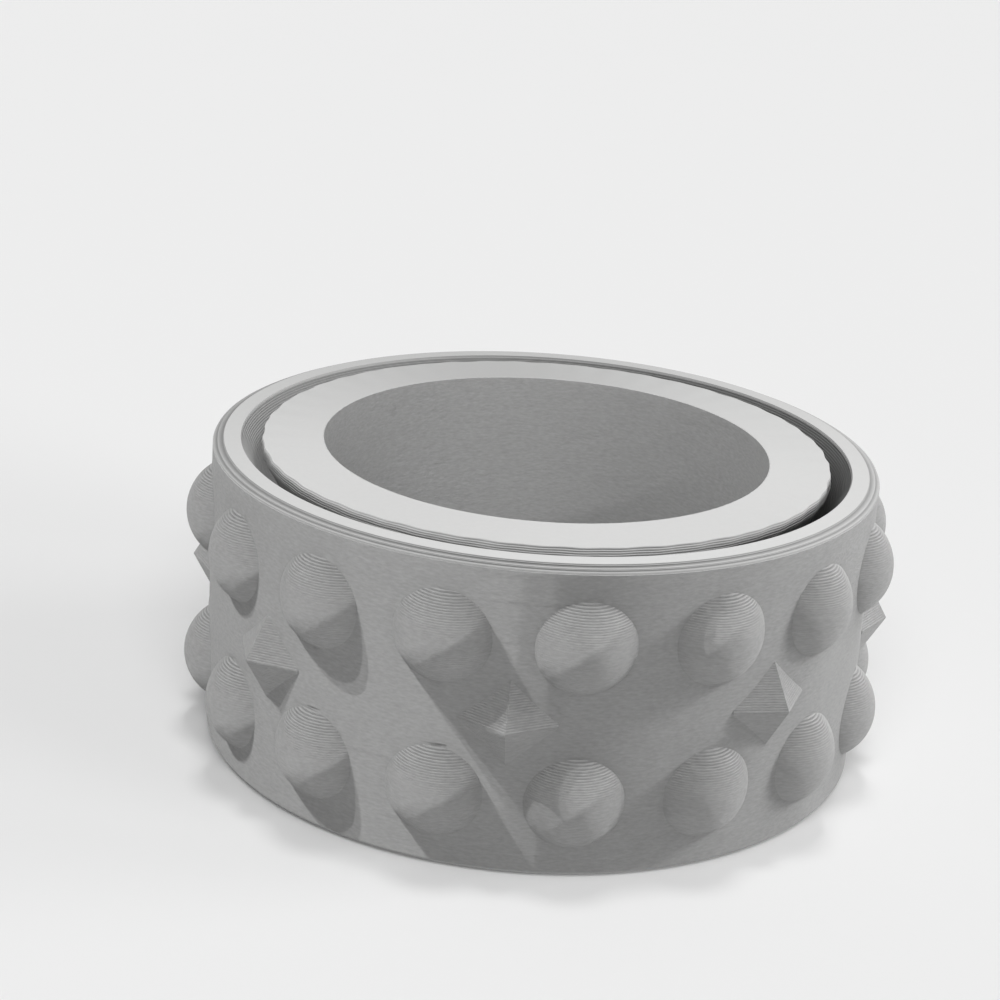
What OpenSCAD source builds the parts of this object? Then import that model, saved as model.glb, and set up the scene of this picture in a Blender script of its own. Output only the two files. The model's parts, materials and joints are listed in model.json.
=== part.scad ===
// Spinner ring: a studded outer band that turns on a plain inner ring, held on by a tongue and a groove.
// Sizes are in millimetres. The ring lies on its side: Z runs along the finger, and z = 0 is the flat
// side that it rests on. Both pieces are the same above and below mid height.

/* [Finger hole] */
// Diameter of the finger hole
bore_d = 21; // [16:0.5:24]
// Height of the ring, along the finger
ring_h = 14.4; // [13.2:0.1:18]

/* [Inner ring] */
// Wall left between the finger hole and the floor of the groove
core_wall = 1.65; // [1.2:0.05:2.4]
// How far the lips stand out from the floor of the groove
lip_reach = 1.25; // [1.1:0.05:1.6]
// Height of a lip's steep outer edge
lip_edge_h = 0.5; // [0.3:0.1:0.9]
// How much narrower a lip is at its face than where it is widest
lip_flare = 0.1; // [0:0.05:0.3]
// Angle between the ring's axis and the slanted flanks of the groove and the tongue
flank_angle = 30; // [25:1:40]

/* [Running gap] */
// Gap between the tongue of the band and the floor of the groove
tongue_gap = 0.45; // [0.25:0.05:0.6]
// Radial gap between the flank of a lip and the flank of the band
flank_gap = 0.7; // [0.4:0.05:0.9]

/* [Spinner band] */
// Thickness of the band where its slanted inner side meets the face
rim_w = 1.26; // [1.1:0.02:2.2]
// Width of the bevel round the outer edge of the rim
bevel_w = 0.63; // [0.2:0.01:0.8]
// Height of that bevel
bevel_h = 0.3; // [0.1:0.1:0.8]

/* [Studs] */
// Radius of the balls that the round studs are parts of
stud_r = 2.5; // [2:0.1:2.7]
// How far the studs stand out of the band
stud_stand = 1.15; // [0.7:0.05:1.4]
// Distance between the centres of the two rows of round studs
row_pitch = 7.2; // [5.6:0.2:7.6]
// Number of columns of round studs
column_count = 16; // [12:2:16]
// Direction of the first column, in degrees round the ring
first_column = -82.7; // [-90:0.1:90]
// Size across the corners of the six-sided studs
facet_d = 5; // [4:0.1:5.4]

/* [Hidden] */

// Smoothness of the round surfaces
round_fn = 180;
ball_fn = 48;
// Length by which a cutting shape runs past the face that it cuts
past = 1;

bore_r = bore_d / 2;
groove_r = bore_r + core_wall;
lip_r = groove_r + lip_reach;
lip_face_r = lip_r - lip_flare;
flank_slope = tan(flank_angle);
groove_depth_z = lip_edge_h + lip_reach / flank_slope;

tongue_r = groove_r + tongue_gap;
mouth_r = lip_r + lip_edge_h * flank_slope + flank_gap;
tongue_depth_z = (mouth_r - tongue_r) / flank_slope;
band_r = mouth_r + rim_w;

mid_z = ring_h / 2;
column_step = 360 / column_count;
stud_centre_r = band_r + stud_stand - stud_r;
facet_r = facet_d / 2;
facet_centre_r = band_r + stud_stand - facet_r;

// Half section of the inner ring, as radius and height
inner_section = [
    [bore_r, 0],
    [lip_face_r, 0],
    [lip_r, lip_edge_h],
    [groove_r, groove_depth_z],
    [groove_r, ring_h - groove_depth_z],
    [lip_r, ring_h - lip_edge_h],
    [lip_face_r, ring_h],
    [bore_r, ring_h]
];

// Half section of the space inside the band, run past both faces along the slope of the flanks
hollow_section = [
    [0, -past],
    [mouth_r + past * flank_slope, -past],
    [tongue_r, tongue_depth_z],
    [tongue_r, ring_h - tongue_depth_z],
    [mouth_r + past * flank_slope, ring_h + past],
    [0, ring_h + past]
];

// Half section of the band without its studs and before its inside is cut
blank_section = [
    [0, 0],
    [band_r - bevel_w, 0],
    [band_r, bevel_h],
    [band_r, ring_h - bevel_h],
    [band_r - bevel_w, ring_h],
    [0, ring_h]
];

// A solid turned round the ring's axis
module turned(section) {
    rotate_extrude($fn = round_fn) polygon(section);
}

// One round stud: part of a ball sunk in the band
module round_stud(angle, z) {
    rotate([0, 0, angle]) translate([stud_centre_r, 0, z]) sphere(r = stud_r, $fn = ball_fn);
}

// One six-sided stud with a corner pointing straight out
module faceted_stud(angle) {
    rotate([0, 0, angle]) translate([facet_centre_r, 0, mid_z]) sphere(r = facet_r, $fn = 6);
}

module studs() {
    for (column = [0 : column_count - 1], side = [-1, 1])
        round_stud(first_column + column * column_step, mid_z + side * row_pitch / 2);
    for (pair = [0 : column_count / 2 - 1])
        faceted_stud(first_column + (2 * pair - 0.5) * column_step);
}

module inner_ring() {
    color("darkgray") turned(inner_section);
}

module spinner_band() {
    color("silver") difference() {
        union() {
            turned(blank_section);
            studs();
        }
        turned(hollow_section);
    }
}

inner_ring();
spinner_band();
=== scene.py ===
"""Spinner ring: the looks of a two-piece ring made by layer printing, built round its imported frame.

The ring lies on its side. Each visible piece is a stack of thin printed layers. Slanted and domed surfaces
show the steps that the print leaves, and a layer's edge is shaded as fine ridges that look up and down.
"""

import json
import math

import bpy
import numpy as np
from bpy.props import FloatProperty, FloatVectorProperty, IntProperty, PointerProperty
from mathutils import Matrix, Vector


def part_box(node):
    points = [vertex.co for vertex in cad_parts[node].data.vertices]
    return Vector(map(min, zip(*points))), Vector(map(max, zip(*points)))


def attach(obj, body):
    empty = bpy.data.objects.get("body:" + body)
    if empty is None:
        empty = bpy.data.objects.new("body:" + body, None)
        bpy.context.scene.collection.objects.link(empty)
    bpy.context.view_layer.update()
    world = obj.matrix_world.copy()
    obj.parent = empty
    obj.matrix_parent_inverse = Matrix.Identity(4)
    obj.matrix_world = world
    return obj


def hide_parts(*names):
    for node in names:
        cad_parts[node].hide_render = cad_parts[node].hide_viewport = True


bl_info = {
    "name": "Spinner ring",
    "version": (1, 0, 0),
    "blender": (4, 5, 0),
    "location": "View3D > Sidebar > Spinner ring",
    "description": "Builds a layer-printed spinner ring and its studio stage",
    "category": "Object",
}

MM = 0.001
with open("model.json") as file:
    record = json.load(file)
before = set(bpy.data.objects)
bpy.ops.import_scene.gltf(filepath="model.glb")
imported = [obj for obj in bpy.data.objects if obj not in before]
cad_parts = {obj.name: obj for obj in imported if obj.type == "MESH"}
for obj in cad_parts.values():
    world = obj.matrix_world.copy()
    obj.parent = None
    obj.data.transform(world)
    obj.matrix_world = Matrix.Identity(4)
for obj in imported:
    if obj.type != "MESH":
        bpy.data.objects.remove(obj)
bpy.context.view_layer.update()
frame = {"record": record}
FINGER_BORE = next(m for m in frame["record"]["mounts"] if m["name"] == "finger_bore")
RING_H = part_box("inner_ring")[1].z


def length(name, description, default_mm):
    """A size property, given in millimetres and kept in metres."""
    return FloatProperty(
        name=name, description=description, default=default_mm * MM, unit="LENGTH", precision=5
    )


def angle(name, description, default_deg):
    """An angle property, given in degrees and kept in radians."""
    return FloatProperty(
        name=name, description=description, default=math.radians(default_deg), unit="ROTATION"
    )


def share(name, description, default):
    """A plain number property from 0 to 1."""
    return FloatProperty(name=name, description=description, default=default, min=0, max=1, subtype="FACTOR")


def ratio(name, description, default):
    """A plain number property of 0 or more."""
    return FloatProperty(name=name, description=description, default=default, min=0)


def number_of(name, description, default, least):
    """A whole number property, never under its least value."""
    return IntProperty(name=name, description=description, default=default, min=least)


def colour(name, description, default):
    """A colour property."""
    return FloatVectorProperty(
        name=name, description=description, default=default, size=3, min=0, max=1, subtype="COLOR"
    )


class RingSizes(bpy.types.PropertyGroup):
    """Sizes of the ring's shapes, as in the part's source."""

    layer: length("Layer", "Height of one printed layer", 0.1)
    ridges: number_of("Ridges", "Ridges of shading on the edge of a layer", 3, 1)
    rim_ridges: number_of("Rim ridges", "Ridges of shading on a layer of the rims and the tongue", 2, 1)
    roundness: ratio("Roundness", "How far the shading of a ridge leans up and down", 3.0)
    edge_lean: ratio("Edge lean", "How far the shading leans up and down on the edges of lips and rims", 0.8)
    ledge_lean: ratio("Ledge lean", "How far the shading leans up at the outer side of a ledge", 0.6)
    foot_lean: ratio("Foot lean", "How far the shading leans down at the inner side of a ledge", 0.2)
    grain: ratio("Grain", "How much the shading differs along a layer, by the square of its lean", 0.05)
    edge_step: share("Edge step", "How far the layers of lips and rims stand in real steps", 0.8)
    stud_step: share("Stud step", "How far the studs' layers stand in real steps", 0.2)
    face_lean: ratio("Face lean", "How far the shading of a flat face leans outwards", 0.4)
    wander: length("Wander", "How far a layer strays from its true line", 0.003)
    bore_r: length("Finger hole", "Radius of the finger hole", FINGER_BORE["dims"]["r_mm"])
    ring_h: length("Height", "Height of the ring along the finger", RING_H / MM)
    groove_r: length("Groove", "Radius of the groove's floor", 12.15)
    lip_r: length("Lip", "Largest radius of the inner ring's lips", 13.4)
    lip_flare: length("Lip flare", "How much narrower a lip is at its face", 0.1)
    lip_edge_h: length("Lip edge", "Height of a lip's steep outer edge", 0.5)
    lip_wave: length("Lip wave", "Depth of the waves along a lip's edge", 0.048)
    lip_waves: number_of("Lip waves", "Number of short waves along a lip's edge, which is even", 48, 2)
    flank: angle("Flank", "Angle between the axis and the slanted flanks", 30)
    tongue_r: length("Tongue", "Radius of the band's tongue", 12.6)
    mouth_r: length("Mouth", "Radius of the band's inner edge at its face", 14.39)
    band_r: length("Band", "Outer radius of the band", 15.65)
    bevel_w: length("Bevel width", "Width of the rim's stepped bevel", 0.63)
    bevel_h: length("Bevel height", "Height of the rim's stepped bevel", 0.3)
    bevel_curve: ratio("Bevel curve", "Power by which the bevel narrows towards the face", 1.45)
    stud_r: length("Stud", "Radius of the balls that the round studs are parts of", 2.5)
    stud_centre_r: length("Stud centre", "Distance of a stud's centre from the ring's axis", 14.3)
    row_pitch: length("Row pitch", "Distance between the two rows of round studs", 7.2)
    first_column: angle("First column", "Direction of the first column of studs", -82.7)
    columns: number_of("Columns", "Number of columns of round studs", 16, 4)
    band_steps: number_of("Band steps", "Steps round the band", 220, 60)
    inner_steps: number_of("Inner steps", "Steps round the inner ring", 288, 60)
    hole_steps: number_of("Hole steps", "Steps round the finger hole", 200, 60)
    stud_steps: number_of("Stud steps", "Steps round the edge of a round stud", 26, 8)
    slit_depth: length("Slit depth", "Depth of the thin slits at the round studs", 0.035)
    slit_half: length("Slit half length", "Half the length of a slit", 0.35)
    seam_depth: length("Seam depth", "Depth of the faint seams that join the slits round the band", 0.0015)


class RingFinish(bpy.types.PropertyGroup):
    """Colour and gloss of the printed plastic."""

    plastic: colour("Plastic", "Colour of the printed plastic", (0.27, 0.27, 0.268))
    roughness: share("Roughness", "Roughness of the printed plastic", 0.62)
    specular: share("Gloss", "Strength of the plastic's gloss", 0.25)
    streak: share("Streaks", "How much short dashes along the walls' layers differ in lightness", 0.2)
    face_streak: share("Face streaks", "How much the same dashes differ on lips, rims and tongue", 0.02)
    dash_length: length("Dash length", "Length of a dash along a layer", 0.3)
    grain_size: length("Grain size", "Size of the fine grain", 0.2)
    speckle: share("Speckle", "How much the fine grain differs in lightness", 0.025)
    rough_change: share("Roughness change", "How much the fine grain differs in roughness", 0.1)
    bump: share("Bump", "Strength of the fine grain's bump", 0.15)
    bump_depth: length("Bump depth", "Depth of the fine grain's bump", 0.01)


class RingStage(bpy.types.PropertyGroup):
    """Floor, camera and lights."""

    floor: colour("Floor", "Colour of the floor", (0.83, 0.83, 0.83))
    floor_reach: length("Floor reach", "Half the width of the floor", 4000)
    sky: ratio("Sky", "Strength of the even light from all round", 0.3)
    key: ratio("Key light", "Strength of each of the two hard lights on the left", 1.5)
    band_light: ratio("Band light", "Strength of the soft lights on the band", 1.0)
    face_light: ratio("Face light", "Strength of the soft lights on the lips and rims", 1.0)
    inner_light: ratio("Inside light", "Strength of the soft lights on the finger hole and the tongue", 1.0)
    floor_light: ratio("Floor light", "Strength of the soft lights on the floor", 1.0)
    patch: ratio("Patch light", "Strength of the spot on the finger hole's back wall, in watts", 6.4)
    patch_width: angle("Patch width", "Width of the beam of that spot", 2.4)
    focal: length("Focal length", "The camera's focal length", 83.11)
    pitch: angle("Pitch", "How far the camera looks down", 20.06)
    roll: angle("Roll", "How far the camera leans to its side", -3.84)
    camera_x: length("Camera X", "The camera's place across the view", -2.029)
    camera_y: length("Camera Y", "The camera's place along the view", -103.318)
    camera_z: length("Camera Z", "The camera's height above the floor", 49.156)


def layered(curve, bottom, top, sizes, ridges, lean, step, facing=1):
    """Rows of radius, height and layer number up the side of a stack of layers, and the leans of their faces.

    curve gives the true radius at a height. A full step puts a layer's upright edge at the radius of its mid
    height, with a flat ledge to the next layer's edge. Without it the rows lie on the true curve, shared out
    by the same lengths. An edge has this many ridges of one height. A face has two leans, which say how
    steeply its normals look up at its first and at its last row: down and up on a ridge, and up and a little
    down on a ledge that looks up. Faces shorter than a thousandth of a layer are left out.
    """
    number = np.arange(round(bottom / sizes.layer), round(top / sizes.layer))
    low = number * sizes.layer
    edge = curve(low + sizes.layer / 2)
    start, end = curve(low), curve(low + sizes.layer)
    jump = np.diff(edge, prepend=edge[0]) * facing
    below = np.clip(jump, 0, None)
    above = np.append(np.clip(-jump[1:], 0, None), 0)
    whole = below + sizes.layer + above
    up = np.arange(ridges + 1) / ridges
    on_edge = (below[:, None] + sizes.layer * up) / whole[:, None]
    along = np.hstack([np.zeros((len(low), 1)), on_edge, np.ones((len(low), 1))])
    stepped_height = np.hstack([np.zeros((len(low), 1)), np.tile(up, (len(low), 1)), np.ones((len(low), 1))])
    first = np.where(below > 0, np.roll(edge, 1), edge)
    last = np.where(above > 0, np.roll(edge, -1), edge)
    stepped_radius = np.hstack([first[:, None], np.repeat(edge[:, None], ridges + 1, 1), last[:, None]])
    radius = start[:, None] + (end - start)[:, None] * along
    radius = radius + (stepped_radius - radius) * step
    height = low[:, None] + sizes.layer * (along + (stepped_height - along) * step)
    rows = np.stack([radius, height, np.repeat(number[:, None], ridges + 3, 1)], 2).reshape(-1, 3)
    ledge = np.array([sizes.ledge_lean, -sizes.foot_lean])
    leans = np.array([-ledge] + [[-lean, lean]] * ridges + [ledge, [0, 0]])
    leans = np.tile(leans, (len(low), 1))
    kept = np.abs(np.diff(rows[:, :2], axis=0)).max(1) > sizes.layer / 1000
    rows = np.concatenate([rows[:1], rows[1:][kept]])
    return rows, leans[:-1][kept]


def section(parts, leans_between):
    """One closed section from parts that follow one another: rows, leans of the faces, and their facings.

    A part is its rows, its leans and its facing, which is 1 on the outer side and -1 on the inner side.
    leans_between holds the leans of the flat face from each part to the next.
    """
    rows = np.concatenate([part[0] for part in parts])
    leans = []
    facings = []
    for part, between in zip(parts, leans_between):
        leans += [part[1], [between]]
        facings += [np.full(len(part[1]), part[2]), [1]]
    return rows, np.concatenate(leans), np.concatenate(facings)


def downwards(rows, leans, facing):
    """A part of a section that runs down instead of up."""
    return rows[::-1], leans[::-1, ::-1], facing


def corner_normals(start, end, leans, facings, grain):
    """Normals at the four corners of each face between two rows, as rows, steps, corners and axes.

    start and end are the flat outward directions at the two ends of each step of each row. A normal is the
    flat direction, turned inwards on an inner side, plus its lean upwards. grain is a small change of a lean
    of 1 at each step, and grows with the square of the lean.
    """
    next_grain = np.roll(grain, -1, 1)

    def corner(flat, lean, change):
        upwards = lean[:, None] + change * lean[:, None] ** 2
        normal = np.concatenate([flat * facings[:, None, None], upwards[:, :, None]], 2)
        return normal / np.linalg.norm(normal, axis=2, keepdims=True)

    first, last = leans[:, 0], leans[:, 1]
    return np.stack(
        [
            corner(start[:-1], first, grain),
            corner(end[:-1], first, next_grain),
            corner(end[1:], last, next_grain),
            corner(start[1:], last, grain),
        ],
        2,
    )


def grain_of(rows, steps, sizes, seed):
    """A small random lean for each layer and each step round it, one row for each face."""
    random = np.random.default_rng(seed)
    by_layer = random.normal(0, sizes.grain, (round(sizes.ring_h / sizes.layer) + 2, steps))
    return by_layer[rows[1:, 2].astype(int)]


def turned(name, outline, steps, sizes, offset, seed):
    """A closed solid turned round the ring's axis from a closed half section.

    Point (i, j) is (r cos a, r sin a, z), where r and z are row i's and a is j steps of a full turn. r grows
    by offset(i, a). The section runs up its outer side, so that the faces point outwards.
    """
    rows, leans, facings = outline
    a = np.arange(steps) * 2 * np.pi / steps
    r = rows[:, :1] + offset(rows, a[None, :])
    height = np.repeat(rows[:, 1:2], steps, 1)
    points = np.stack([r * np.cos(a), r * np.sin(a), height], 2).reshape(-1, 3)
    slope = (np.roll(r, -1, 1) - np.roll(r, 1, 1)) * steps / (4 * np.pi) / r
    flat = np.stack([np.cos(a) + slope * np.sin(a), np.sin(a) - slope * np.cos(a)], 2)
    flat = flat / np.linalg.norm(flat, axis=2, keepdims=True)
    index = np.arange(r.size).reshape(r.shape)
    right = np.roll(index, -1, 1)
    faces = np.stack([index, right, np.roll(right, -1, 0), np.roll(index, -1, 0)], 2).reshape(-1, 4)
    closed = np.concatenate([rows, rows[:1]])
    flat = np.concatenate([flat, flat[:1]])
    ridged = leans[:, :1] != leans[:, 1:]
    grain = grain_of(closed, steps, sizes, seed) * ridged
    normals = corner_normals(flat, np.roll(flat, -1, 1), leans, facings, grain)
    return meshed(name, points, faces.tolist(), normals.reshape(-1, 3))


def meshed(name, points, faces, normals):
    """A mesh object of these points and faces, shaded by one normal for each corner of each face."""
    mesh = bpy.data.meshes.new(name)
    mesh.from_pydata(points, [], faces)
    mesh.polygons.foreach_set("use_smooth", np.ones(len(mesh.polygons), bool))
    mesh.normals_split_custom_set(normals)
    piece = bpy.data.objects.new(name, mesh)
    bpy.context.scene.collection.objects.link(piece)
    return piece


def wander(sizes, seed):
    """How far each layer strays from its true line.

    That is the mean of six waves, which go once to six times round the turn from random starts, times a
    random size of the layer's own.
    """
    layers = round(sizes.ring_h / sizes.layer) + 1
    random = np.random.default_rng(seed)
    waves = np.arange(1, 7)
    starts = random.uniform(0, 2 * np.pi, (layers, len(waves)))
    reach = random.gamma(1.0, 1.0, (layers, 1)) * sizes.wander

    def offset(rows, a):
        number = rows[:, 2].astype(int)
        phase = a[:, :, None] * waves + starts[number][:, None, :]
        return reach[number] * np.sin(phase).mean(2)

    return offset


def finish_piece(piece, body, material):
    """Gives a piece its material and body, and lets its shade end where its faces turn."""
    piece.data.materials.append(material)
    piece.cycles.shadow_terminator_geometry_offset = 0
    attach(piece, body)


class Wire:
    """A shader socket or number that arithmetic works on; each step adds a Math node."""

    def __init__(self, tree, source):
        self.tree = tree
        self.source = source

    def math(self, operation, *values):
        return self.tree.node("ShaderNodeMath", {"operation": operation}, dict(enumerate(values)))

    def __add__(self, other):
        return self.math("ADD", self, other)

    def __mul__(self, other):
        return self.math("MULTIPLY", self, other)

    def __sub__(self, other):
        return self.math("SUBTRACT", self, other)

    __radd__ = __add__
    __rmul__ = __mul__

    def __rsub__(self, other):
        return self.math("SUBTRACT", other, self)


class Tree:
    """A material's node tree, with one way to add a node."""

    def __init__(self, name):
        self.material = bpy.data.materials.new(name)
        self.material.use_nodes = True
        self.nodes = self.material.node_tree.nodes
        self.links = self.material.node_tree.links
        self.nodes.clear()

    def node(self, kind, settings=None, values=None, output=0):
        """Adds a node: its settings are set first, then its sockets get their values or links."""
        node = self.nodes.new(kind)
        for key, value in (settings or {}).items():
            setattr(node, key, value)
        for key, value in (values or {}).items():
            if isinstance(value, Wire):
                self.links.new(value.source, node.inputs[key])
            else:
                node.inputs[key].default_value = value
        return Wire(self, node.outputs[output] if node.outputs else None)


def printed_plastic(name, finish, sizes, streaks):
    """Matt printed plastic with a fine grain and short dashes along the layers, which differ by streaks."""
    tree = Tree(name)
    place = tree.node("ShaderNodeTexCoord", output="Object")
    along = 1 / finish.dash_length
    stretched = tree.node(
        "ShaderNodeVectorMath", {"operation": "MULTIPLY"}, {0: place, 1: (along, along, 1 / sizes.layer)}
    )
    streak = tree.node("ShaderNodeTexNoise", None, {"Vector": stretched, "Scale": 1.0, "Detail": 2.0})
    fineness = 1 / finish.grain_size
    grain = tree.node("ShaderNodeTexNoise", None, {"Vector": place, "Scale": fineness, "Detail": 2.0})
    light = 1.0 + (streak - 0.5) * streaks * 2 + (grain - 0.5) * finish.speckle * 2
    shade = tree.node("ShaderNodeCombineXYZ", None, {0: light, 1: light, 2: light})
    tint = tree.node(
        "ShaderNodeVectorMath", {"operation": "MULTIPLY"}, {0: shade, 1: tuple(finish.plastic)}
    )
    rough = finish.roughness + (grain - 0.5) * finish.rough_change
    bump = tree.node(
        "ShaderNodeBump", None, {"Strength": finish.bump, "Distance": finish.bump_depth, "Height": grain}
    )
    shader = tree.node(
        "ShaderNodeBsdfPrincipled",
        None,
        {"Base Color": tint, "Roughness": rough, "Specular IOR Level": finish.specular, "Normal": bump},
    )
    tree.node("ShaderNodeOutputMaterial", None, {"Surface": shader})
    return tree.material


class RING_OT_inner_ring(bpy.types.Operator):
    """Builds the inner ring: a smooth finger hole, a lip at each face and a groove between them"""

    bl_idname = "spinner_ring.inner_ring"
    bl_label = "Inner ring"

    def execute(self, context):
        sizes = context.scene.ring_sizes
        slope = math.tan(sizes.flank)
        undercut_h = (sizes.lip_r - sizes.groove_r) / slope

        def outer_radius(z):
            depth = np.minimum(z, sizes.ring_h - z)
            flared = sizes.lip_r - sizes.lip_flare * (1 - depth / sizes.lip_edge_h)
            undercut = sizes.lip_r - (depth - sizes.lip_edge_h) * slope
            return np.where(depth < sizes.lip_edge_h, flared, np.maximum(undercut, sizes.groove_r))

        def bore_radius(z):
            return np.full_like(z, sizes.bore_r)

        groove_low = math.ceil((sizes.lip_edge_h + undercut_h) / sizes.layer) * sizes.layer
        groove_high = sizes.ring_h - groove_low
        up = 1 / sizes.face_lean
        edge = (sizes, 1, sizes.edge_lean, sizes.edge_step)
        lining_r = sizes.bore_r + sizes.layer / 2
        last_layer = round(sizes.ring_h / sizes.layer) - 1
        back = np.array([[lining_r, 0, 0], [lining_r, sizes.ring_h, last_layer]])
        level = np.zeros((1, 2))
        body = section(
            [
                (*layered(outer_radius, 0, groove_low, *edge), 1),
                (*layered(outer_radius, groove_high, sizes.ring_h, *edge), 1),
                (back[::-1], level, -1),
            ],
            [(0, 0), (up, up), (-up, -up)],
        )
        hole = layered(bore_radius, 0, sizes.ring_h, sizes, sizes.ridges, sizes.roundness, 1, -1)
        lining = section([(back, level, 1), downwards(*hole, -1)], [(up, up), (-up, -up)])
        stray = wander(sizes, seed=3)
        short_share = 0.62
        drift_per_layer = 0.35
        waved_h = sizes.lip_edge_h * 1.5
        fading = 0.5

        def offset(rows, a):
            depth = np.minimum(rows[:, 1:2], sizes.ring_h - rows[:, 1:2])
            on_lip = (rows[:, :1] > sizes.groove_r + sizes.lip_flare) & (depth < waved_h)
            layer = np.minimum(rows[:, 2:3], sizes.ring_h / sizes.layer - rows[:, 2:3])
            drift = layer * drift_per_layer
            short = np.cos(sizes.lip_waves * a + drift)
            long = np.sin(sizes.lip_waves / 2 * a + drift)
            growth = 1 - fading * depth / sizes.lip_edge_h
            wave = short_share * short - (1 - short_share) * long
            return on_lip * growth * sizes.lip_wave * wave + stray(rows, a)

        finish = context.scene.ring_finish
        pieces = {
            "inner_ring_printed": (body, sizes.inner_steps, offset, finish.face_streak),
            "finger_hole_wall": (lining, sizes.hole_steps, stray, finish.streak),
        }
        for name, (outline, steps, shape, streaks) in pieces.items():
            piece = turned(name, outline, steps, sizes, shape, seed=13)
            material = printed_plastic(name, finish, sizes, streaks)
            finish_piece(piece, "inner_ring", material)
            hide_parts("inner_ring")
        return {"FINISHED"}


class RING_OT_band(bpy.types.Operator):
    """Builds the band without its studs: its wall, its rims with their stepped bevels, and its tongue"""

    bl_idname = "spinner_ring.band"
    bl_label = "Band"

    def execute(self, context):
        sizes = context.scene.ring_sizes
        slope = math.tan(sizes.flank)
        tongue_h = math.ceil((sizes.mouth_r - sizes.tongue_r) / slope / sizes.layer) * sizes.layer

        def outer_radius(z):
            depth = np.minimum(z, sizes.ring_h - z)
            share_of_bevel = np.clip(1 - depth / sizes.bevel_h, 0, None)
            return sizes.band_r - sizes.bevel_w * share_of_bevel**sizes.bevel_curve

        def inner_radius(z):
            depth = np.minimum(z, sizes.ring_h - z)
            return np.maximum(sizes.mouth_r - depth * slope, sizes.tongue_r)

        stray = wander(sizes, seed=5)
        stud_edge_h = math.sqrt(sizes.stud_r**2 - (sizes.band_r - sizes.stud_centre_r) ** 2)
        centres = sizes.ring_h / 2 + np.array([-1, 1]) * sizes.row_pitch / 2
        edges = (centres + np.array([1, -1]) * stud_edge_h) / sizes.layer
        slit_layers = np.floor(edges)
        column = 2 * math.pi / sizes.columns

        def offset(rows, a):
            off_column = (a - sizes.first_column + column / 2) % column - column / 2
            near = np.clip(2 * (1 - np.abs(off_column) * sizes.band_r / sizes.slit_half), 0, 1)
            cut = sizes.seam_depth + sizes.slit_depth * near
            on_wall = (rows[:, :1] == sizes.band_r) & np.isin(rows[:, 2:3], slit_layers)
            return stray(rows, a) - on_wall * cut

        top = sizes.ring_h - sizes.layer
        mouth = inner_radius(np.array([sizes.layer / 2]))[0]
        up = 1 / sizes.face_lean

        def shell(low, high, ridges, lean, step):
            side = layered(outer_radius, low, high, sizes, ridges, lean, step)
            plain = np.array([[mouth, high, side[0][-1, 2]], [mouth, low, side[0][0, 2]]])
            return section([(*side, 1), (plain, np.zeros((1, 2)), -1)], [(up, up), (-up, -up)])

        rim_h = sizes.ring_h - sizes.bevel_h
        rim_edge = (sizes.rim_ridges, sizes.edge_lean, sizes.edge_step)
        wall = shell(sizes.bevel_h, rim_h, sizes.ridges, sizes.roundness, 1)
        rim_lower = shell(0, sizes.bevel_h, *rim_edge)
        rim_upper = shell(rim_h, sizes.ring_h, *rim_edge)
        root = (sizes.mouth_r + sizes.band_r) / 2
        back = np.array([[root, sizes.layer, 1], [root, top, round(top / sizes.layer)]])
        cone = (sizes, sizes.rim_ridges, sizes.roundness, 1, -1)
        cones = [
            downwards(*layered(inner_radius, low, high, *cone), -1)
            for low, high in ((sizes.ring_h - tongue_h, top), (sizes.layer, tongue_h))
        ]
        tongue = section([(back, np.zeros((1, 2)), 1), *cones], [(up, up), (0, 0), (-up, -up)])
        finish = context.scene.ring_finish
        pieces = {
            "band_printed": (wall, offset, finish.streak),
            "rim_lower": (rim_lower, stray, finish.face_streak),
            "rim_upper": (rim_upper, stray, finish.face_streak),
            "band_tongue": (tongue, stray, finish.face_streak),
        }
        for name, (outline, shape, streaks) in pieces.items():
            piece = turned(name, outline, sizes.band_steps, sizes, shape, seed=15)
            material = printed_plastic(name, finish, sizes, streaks)
            finish_piece(piece, "spinner_band", material)
            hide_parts("spinner_band")
        return {"FINISHED"}


def stud_field(name, stack, loop, flat, sizes, directions, centre_z):
    """Studs round the band as one mesh. Each is a stack of flat loops, closed by a flat cap at each end.

    Point (i, j) of a stud is its centre plus r_i times the loop's point j, turned to the stud's direction, at
    height z_i above the stud's centre. flat holds the outward directions at the start and end of each side of
    the loop.
    """
    rows, leans = stack
    count = len(loop)
    local = np.empty((len(rows), count, 3))
    local[:, :, :2] = rows[:, :1, None] * loop
    local[:, :, 2] = rows[:, 1:2]
    index = np.arange(len(rows) * count).reshape(len(rows), count)
    right = np.roll(index, -1, 1)
    sides = np.stack([index[:-1], right[:-1], right[1:], index[1:]], 2).reshape(-1, 4)
    ends = np.broadcast_to(flat, (len(rows), *flat.shape))
    facings = np.ones(len(leans))
    grain = grain_of(rows, count, sizes, seed=17)
    leaning = corner_normals(ends[:, :, 0], ends[:, :, 1], leans, facings, grain).reshape(-1, 3)
    caps = np.repeat([[0, 0, -1], [0, 0, 1]], count, 0)
    leaning = np.concatenate([leaning, caps])
    points = []
    faces = []
    normals = []
    for number, direction in enumerate(directions):
        turn = np.array(Matrix.Rotation(direction, 3, "Z"))
        points.append((local.reshape(-1, 3) + [sizes.stud_centre_r, 0, 0]) @ turn.T + [0, 0, centre_z])
        normals.append(leaning @ turn.T)
        start = number * index.size
        faces += (sides + start).tolist()
        faces += [(index[0][::-1] + start).tolist(), (index[-1] + start).tolist()]
    return meshed(name, np.concatenate(points), faces, np.concatenate(normals))


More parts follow.
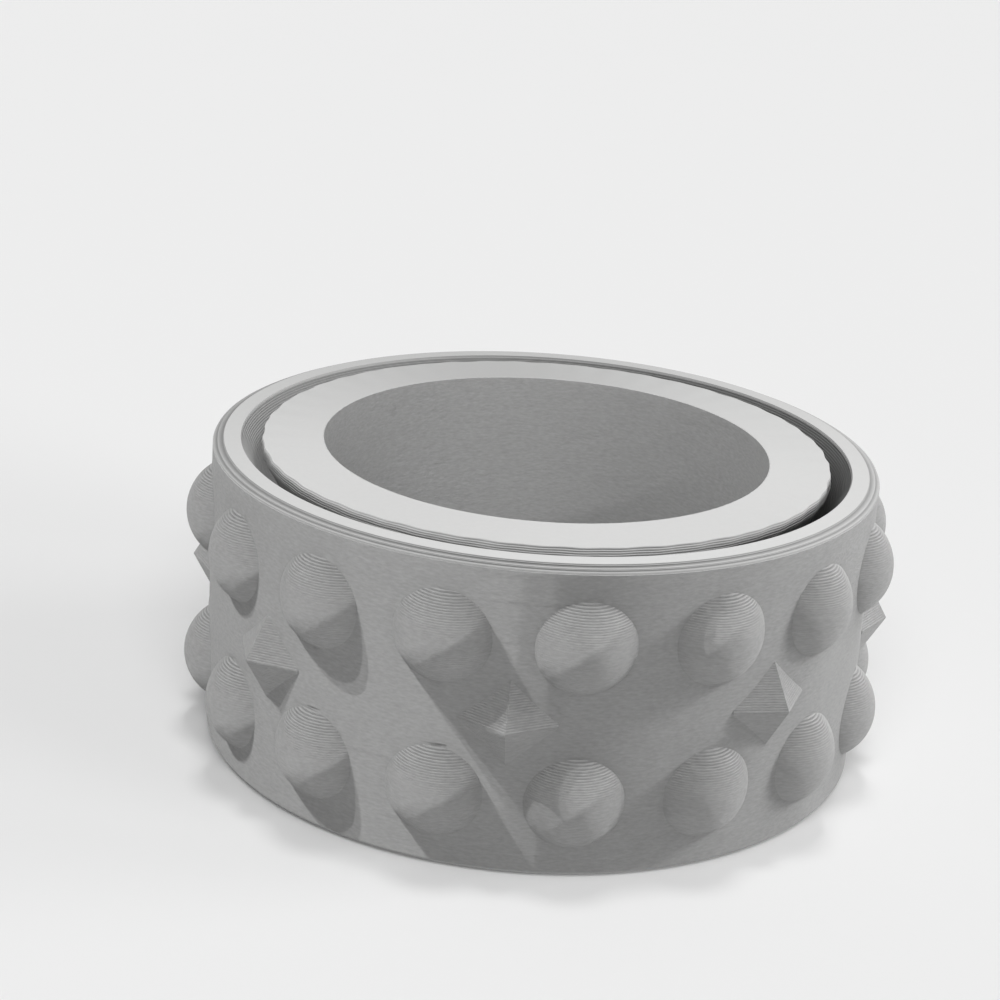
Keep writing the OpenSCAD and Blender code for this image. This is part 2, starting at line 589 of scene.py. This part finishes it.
class RING_OT_round_studs(bpy.types.Operator):
    """Builds the two rows of round studs, each half a ball in layers, sunk in the band"""

    bl_idname = "spinner_ring.round_studs"
    bl_label = "Round studs"

    def execute(self, context):
        sizes = context.scene.ring_sizes
        # The fine steps go a little further round than the part that stands out of the wall.
        fine = math.radians(66)
        edge = np.linspace(-fine, fine, sizes.stud_steps)
        edge = np.concatenate([[-math.pi / 2], edge, [math.pi / 2]])
        loop = np.stack([np.cos(edge), np.sin(edge)], 1)
        flat = np.stack([loop, np.roll(loop, -1, 0)], 1)
        flat[-1] = (-1, 0)
        sunk_r = sizes.band_r - sizes.stud_centre_r
        top = math.ceil(math.sqrt(sizes.stud_r**2 - sunk_r**2) / sizes.layer) * sizes.layer

        def ball(z):
            return np.sqrt(sizes.stud_r**2 - z**2)

        stack = layered(ball, -top, top, sizes, sizes.ridges, sizes.roundness, sizes.stud_step)
        directions = sizes.first_column + np.arange(sizes.columns) * 2 * math.pi / sizes.columns
        finish = context.scene.ring_finish
        material = printed_plastic("round_studs", finish, sizes, finish.streak)
        for name, side in (("round_studs_lower", -1), ("round_studs_upper", 1)):
            centre_z = sizes.ring_h / 2 + side * sizes.row_pitch / 2
            piece = stud_field(name, stack, loop, flat, sizes, directions, centre_z)
            finish_piece(piece, "spinner_band", material)
            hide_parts("spinner_band")
        return {"FINISHED"}


class RING_OT_faceted_studs(bpy.types.Operator):
    """Builds the six-sided studs, each with a corner pointing straight out, in layers"""

    bl_idname = "spinner_ring.faceted_studs"
    bl_label = "Faceted studs"

    def execute(self, context):
        sizes = context.scene.ring_sizes
        corner = np.radians([-60, 0, 60])
        front = np.stack([np.cos(corner), np.sin(corner)], 1)
        half_w = front[2, 1]
        loop = np.concatenate([[[0, -half_w]], front, [[0, half_w]]])
        along = np.roll(loop, -1, 0) - loop
        across = np.stack([along[:, 1], -along[:, 0]], 1) / np.linalg.norm(along, axis=1, keepdims=True)
        flat = np.stack([across, across], 1)
        narrowest = 0.5
        tall = sizes.stud_r * half_w

        def radius_at(z):
            return sizes.stud_r * (1 - (1 - narrowest) * np.abs(z) / tall)

        top = math.floor(tall / sizes.layer) * sizes.layer
        stack = layered(radius_at, -top, top, sizes, sizes.ridges, sizes.roundness, sizes.stud_step)
        step = 2 * math.pi / sizes.columns
        directions = sizes.first_column + (np.arange(0, sizes.columns, 2) - 0.5) * step
        piece = stud_field("faceted_studs", stack, loop, flat, sizes, directions, sizes.ring_h / 2)
        finish = context.scene.ring_finish
        material = printed_plastic("faceted_studs", finish, sizes, finish.streak)
        finish_piece(piece, "spinner_band", material)
        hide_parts("spinner_band")
        return {"FINISHED"}


def towards(azimuth_deg, elevation_deg):
    """A direction; azimuth runs from the camera's side of the ring towards the right."""
    azimuth = math.radians(azimuth_deg)
    elevation = math.radians(elevation_deg)
    flat = math.cos(elevation)
    return Vector((math.sin(azimuth) * flat, -math.cos(azimuth) * flat, math.sin(elevation)))


def lamp(name, data, place, direction, lit):
    """A light that looks back along a direction and shines only on the pieces in the collection lit."""
    light = bpy.data.objects.new(name, data)
    light.location = place
    light.rotation_euler = direction.to_track_quat("Z", "Y").to_euler()
    light.light_linking.receiver_collection = lit
    bpy.context.scene.collection.objects.link(light)
    return light


def sun(name, azimuth_deg, elevation_deg, power, spread_deg, lit):
    """A distant light, as wide as spread_deg."""
    data = bpy.data.lights.new(name, "SUN")
    data.energy = power
    data.angle = math.radians(spread_deg)
    return lamp(name, data, (0, 0, 0), towards(azimuth_deg, elevation_deg), lit)


def lit_pieces(name, pieces):
    """A collection that lights shine on."""
    group = bpy.data.collections.new(name)
    for piece in pieces:
        group.objects.link(bpy.data.objects[piece])
    return group


def build_floor(stage):
    """A wide flat floor of pale matt paper."""
    reach = stage.floor_reach
    corners = [(-reach, -reach, 0), (reach, -reach, 0), (reach, reach, 0), (-reach, reach, 0)]
    mesh = bpy.data.meshes.new("floor")
    mesh.from_pydata(corners, [], [(0, 1, 2, 3)])
    floor = bpy.data.objects.new("floor", mesh)
    bpy.context.scene.collection.objects.link(floor)
    tree = Tree("floor_paper")
    paper = {"Base Color": (*stage.floor, 1), "Roughness": 0.9, "Specular IOR Level": 0.1}
    shader = tree.node("ShaderNodeBsdfPrincipled", None, paper)
    tree.node("ShaderNodeOutputMaterial", None, {"Surface": shader})
    mesh.materials.append(tree.material)


def build_sky(stage):
    """An even white light from all round."""
    world = bpy.data.worlds.new("studio_sky")
    world.use_nodes = True
    background = world.node_tree.nodes["Background"]
    background.inputs["Color"].default_value = (1, 1, 1, 1)
    background.inputs["Strength"].default_value = stage.sky
    bpy.context.scene.world = world


def build_lights(stage, sizes):
    """The lights on the band, the lips, the rims, the finger hole, the tongue and the floor.

    A sun's numbers are its azimuth and its elevation in degrees, its strength, and its width in degrees. The
    low lights on flat faces give no gloss, and the inner ring doesn't shade the tongue from its low light.
    """
    on_band = ["band_printed", "rim_lower", "round_studs_lower", "round_studs_upper", "faceted_studs"]
    band = lit_pieces("lit_band", on_band)
    lips = lit_pieces("lit_lips", ["inner_ring_printed"])
    rims = lit_pieces("lit_rims", ["rim_upper"])
    hole = lit_pieces("lit_hole", ["finger_hole_wall"])
    tongue = lit_pieces("lit_tongue", ["band_tongue"])
    ground = lit_pieces("lit_floor", ["floor"])
    sun("key_light_near", -94.2, 55, 1.27 * stage.key, 0.5, band)
    sun("key_light_far", -88.9, 55, 1.1 * stage.key, 0.5, band)
    soft = stage.band_light
    sun("band_front", 0, 15, 1.35 * soft, 40, band)
    sun("band_front_right", 45, 35, 0.35 * soft, 40, band)
    sun("band_right", 105, 30, 2.45 * soft, 12, band)
    sun("band_right_low", 105, 12, 1.0 * soft, 12, band)
    sun("band_back_right", 135, 35, 0.85 * soft, 40, band)
    sun("band_back_right_high", 135, 60, 1.4 * soft, 40, band)
    sun("band_back", 180, 35, 0.65 * soft, 40, band)
    soft = stage.face_light
    sun("lip_top", 0, 85, 4.3 * soft, 40, lips)
    sun("lip_front", -35, 30, 0.6 * soft, 40, lips)
    low_lights = [
        sun("lip_left", -71, 9, 4.9 * soft, 16, lips),
        sun("lip_right", 90, 9, 6.6 * soft, 16, lips),
        sun("rim_left", -75, 9, 2.6 * soft, 16, rims),
        sun("rim_right", 90, 9, 3.2 * soft, 16, rims),
    ]
    for light in low_lights:
        light.visible_glossy = False
    sun("rim_top", 0, 85, 4.3 * soft, 40, rims)
    sun("rim_front_right", 45, 50, 2.1 * soft, 40, rims)
    soft = stage.inner_light
    sun("hole_top", 0, 85, 2.8 * soft, 40, hole)
    sun("hole_back_left", -135, 60, 2.4 * soft, 40, hole)
    sun("hole_front_right", 45, 15, 1.1 * soft, 40, hole)
    sun("hole_back_right", 135, 15, 1.2 * soft, 40, hole)
    sun("hole_front", 0, 35, 1.4 * soft, 40, hole)
    sun("tongue_top", 0, 85, 0.7 * soft, 40, tongue)
    sun("tongue_right_high", 90, 68, 1.6 * soft, 20, tongue)
    low_light = sun("tongue_right", 90, 35, 1.9 * soft, 20, tongue)
    low_light.light_linking.blocker_collection = rims
    sun("tongue_front", 0, 35, 1.0 * soft, 40, tongue)
    soft = stage.floor_light
    sun("floor_front", 0, 45, 1.7 * soft, 40, ground)
    sun("floor_right_low", 98, 8, 1.5 * soft, 25, ground)
    sun("floor_front_right_low", 65, 8, 1.5 * soft, 25, ground)
    sun("floor_back_top", 175, 84, 0.67 * soft, 8, ground)

    # The spot shines from the front right onto the hole's wall at the back left, near its top.
    spot = bpy.data.lights.new("hole_patch", "SPOT")
    spot.energy = stage.patch
    spot.spot_size = stage.patch_width
    spot.spot_blend = 1
    spot.shadow_soft_size = 12 * MM
    distance = 300 * MM
    shine = towards(20, 22)
    target = sizes.bore_r * towards(204, 0)
    target.z = 0.85 * sizes.ring_h
    lamp("hole_patch", spot, target + distance * shine, shine, hole)


def build_camera(stage):
    """A camera that looks along Y, down by its pitch, and is rolled about its own line of sight."""
    camera = bpy.data.cameras.new("camera")
    camera.sensor_width = 36
    camera.lens = stage.focal / MM
    camera.clip_start = 10 * MM
    camera.clip_end = 5
    eye = bpy.data.objects.new("camera", camera)
    level = Vector((1, 0, 0))
    down = Vector((0, -math.sin(stage.pitch), -math.cos(stage.pitch)))
    ahead = Vector((0, math.cos(stage.pitch), -math.sin(stage.pitch)))
    right = math.cos(stage.roll) * level + math.sin(stage.roll) * down
    below = -math.sin(stage.roll) * level + math.cos(stage.roll) * down
    turn = Matrix((right, -below, -ahead)).transposed().to_4x4()
    eye.matrix_world = Matrix.Translation((stage.camera_x, stage.camera_y, stage.camera_z)) @ turn
    bpy.context.scene.collection.objects.link(eye)
    bpy.context.scene.camera = eye


class RING_OT_stage(bpy.types.Operator):
    """Builds the pale floor, the even sky, the lights and the camera"""

    bl_idname = "spinner_ring.stage"
    bl_label = "Stage"

    def execute(self, context):
        stage = context.scene.ring_stage
        build_floor(stage)
        build_sky(stage)
        build_lights(stage, context.scene.ring_sizes)
        build_camera(stage)
        context.scene.view_settings.view_transform = "Standard"
        return {"FINISHED"}


class RING_PT_panel(bpy.types.Panel):
    """Lists the ring's operators and sizes"""

    bl_idname = "RING_PT_panel"
    bl_label = "Spinner ring"
    bl_space_type = "VIEW_3D"
    bl_region_type = "UI"
    bl_category = "Spinner ring"

    def draw(self, context):
        for operator in OPERATORS:
            self.layout.operator(operator.bl_idname)
        for group in (context.scene.ring_sizes, context.scene.ring_finish, context.scene.ring_stage):
            for key in group.bl_rna.properties.keys():
                if key not in ("rna_type", "name"):
                    self.layout.prop(group, key)


GROUPS = {"ring_sizes": RingSizes, "ring_finish": RingFinish, "ring_stage": RingStage}
OPERATORS = (
    RING_OT_inner_ring,
    RING_OT_band,
    RING_OT_round_studs,
    RING_OT_faceted_studs,
    RING_OT_stage,
)


def register():
    for name, group in GROUPS.items():
        bpy.utils.register_class(group)
        setattr(bpy.types.Scene, name, PointerProperty(type=group))
    for shown in (*OPERATORS, RING_PT_panel):
        bpy.utils.register_class(shown)


def unregister():
    for shown in reversed((*OPERATORS, RING_PT_panel)):
        bpy.utils.unregister_class(shown)
    for name, group in GROUPS.items():
        delattr(bpy.types.Scene, name)
        bpy.utils.unregister_class(group)


def main():
    register()
    bpy.ops.spinner_ring.inner_ring()
    bpy.ops.spinner_ring.band()
    bpy.ops.spinner_ring.round_studs()
    bpy.ops.spinner_ring.faceted_studs()
    bpy.ops.spinner_ring.stage()


if __name__ == "__main__":
    main()
